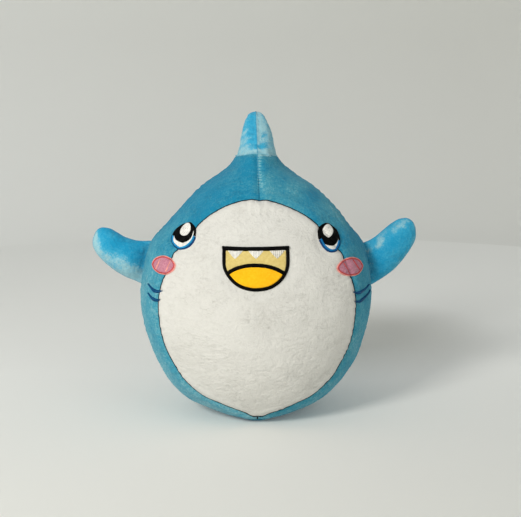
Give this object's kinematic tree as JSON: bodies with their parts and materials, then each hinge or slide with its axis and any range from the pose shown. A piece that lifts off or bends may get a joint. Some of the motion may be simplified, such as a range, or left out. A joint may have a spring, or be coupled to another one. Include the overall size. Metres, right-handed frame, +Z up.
{
  "type": "plush shark",
  "caption": "Upright egg-shaped soft toy shark with a white belly, embroidered smiling face, raised side fins, a fin on top and a small tail fin.",
  "frame": {"origin": "centre of the flat base the toy sits on", "axes": "+Z up, the face looks along -Y, the side fins lie along X"},
  "size_m": [0.3249, 0.2407, 0.2996],
  "materials": {
    "blue_plush": "short minky pile, deep turquoise blue",
    "white_plush": "short minky pile, warm white",
    "fin_plush": "short minky pile, brighter blue",
    "seam_dark": "matte dark thread in a drawn-in seam",
    "thread_blue": "matte polyester thread",
    "stuffing": "loose polyester fibre",
    "backing": "matte non-woven",
    "satin_black": "satin stitch",
    "satin_white": "satin stitch",
    "satin_blue": "satin stitch",
    "satin_salmon": "satin stitch",
    "satin_navy": "satin stitch",
    "tongue_yellow": "applique cloth, matte",
    "lining_beige": "applique cloth, matte",
    "cheek_pink": "applique plush, matte"
  },
  "bodies": {
    "body": {"belly_panel": "white_plush", "base_panel": "blue_plush", "side_panel_left": "blue_plush", "side_panel_right": "blue_plush", "back_panel_left": "blue_plush", "back_panel_right": "blue_plush", "belly_seam": "seam_dark", "front_centre_seam": "seam_dark", "back_centre_seam": "thread_blue", "side_seam_left": "thread_blue", "side_seam_right": "thread_blue", "base_seam": "thread_blue", "closing_stitches": "thread_blue", "body_stuffing": "stuffing", "embroidery_backing_mouth": "backing", "embroidery_backing_eye_left": "backing", "embroidery_backing_eye_right": "backing", "embroidery_backing_cheek_left": "backing", "embroidery_backing_cheek_right": "backing", "mouth_outline": "satin_black", "tongue_outline": "satin_black", "teeth": "satin_white", "mouth_lining": "lining_beige", "tongue": "tongue_yellow", "eye_left_white": "satin_white", "eye_left_glint": "satin_white", "eye_left_pupil": "satin_black", "eye_left_upper_outline": "satin_black", "eye_left_lower_outline": "satin_blue", "cheek_patch_left": "cheek_pink", "cheek_border_left": "satin_salmon", "gill_stitches_left": "satin_navy", "eye_right_white": "satin_white", "eye_right_glint": "satin_white", "eye_right_pupil": "satin_black", "eye_right_upper_outline": "satin_black", "eye_right_lower_outline": "satin_blue", "cheek_patch_right": "cheek_pink", "cheek_border_right": "satin_salmon", "gill_stitches_right": "satin_navy"},
    "pectoral_fin_left": {"pectoral_fin_left_front_panel": "fin_plush", "pectoral_fin_left_back_panel": "fin_plush", "pectoral_fin_left_seam": "thread_blue", "pectoral_fin_left_stuffing": "stuffing"},
    "pectoral_fin_right": {"pectoral_fin_right_front_panel": "fin_plush", "pectoral_fin_right_back_panel": "fin_plush", "pectoral_fin_right_seam": "thread_blue", "pectoral_fin_right_stuffing": "stuffing"},
    "dorsal_fin": {"dorsal_fin_left_panel": "fin_plush", "dorsal_fin_right_panel": "fin_plush", "dorsal_fin_seam": "thread_blue", "dorsal_fin_stuffing": "stuffing"},
    "tail_fin": {"tail_fin_left_panel": "fin_plush", "tail_fin_right_panel": "fin_plush", "tail_fin_seam": "thread_blue", "tail_fin_stuffing": "stuffing"}
  },
  "joints": [
    {"name": "pectoral_fin_left_flap", "type": "hinge", "parent": "body", "child": "pectoral_fin_left", "pos_m": [-0.11459, 0.002, 0.15153], "axis": [0.2293, 0, 0.9734], "range_deg": [-45, 45], "stiffness_Nm_per_rad": 0.05},
    {"name": "pectoral_fin_right_flap", "type": "hinge", "parent": "body", "child": "pectoral_fin_right", "pos_m": [0.11459, 0.002, 0.15153], "axis": [-0.2293, 0, 0.9734], "range_deg": [-45, 45], "stiffness_Nm_per_rad": 0.05},
    {"name": "dorsal_fin_lean", "type": "hinge", "parent": "body", "child": "dorsal_fin", "pos_m": [0, 0.015, 0.257], "axis": [0, 1, 0], "range_deg": [-30, 30], "stiffness_Nm_per_rad": 0.06},
    {"name": "tail_fin_wag", "type": "hinge", "parent": "body", "child": "tail_fin", "pos_m": [0, 0.0976, 0.062], "axis": [0, 0, 1], "range_deg": [-35, 35], "stiffness_Nm_per_rad": 0.05}
  ]
}
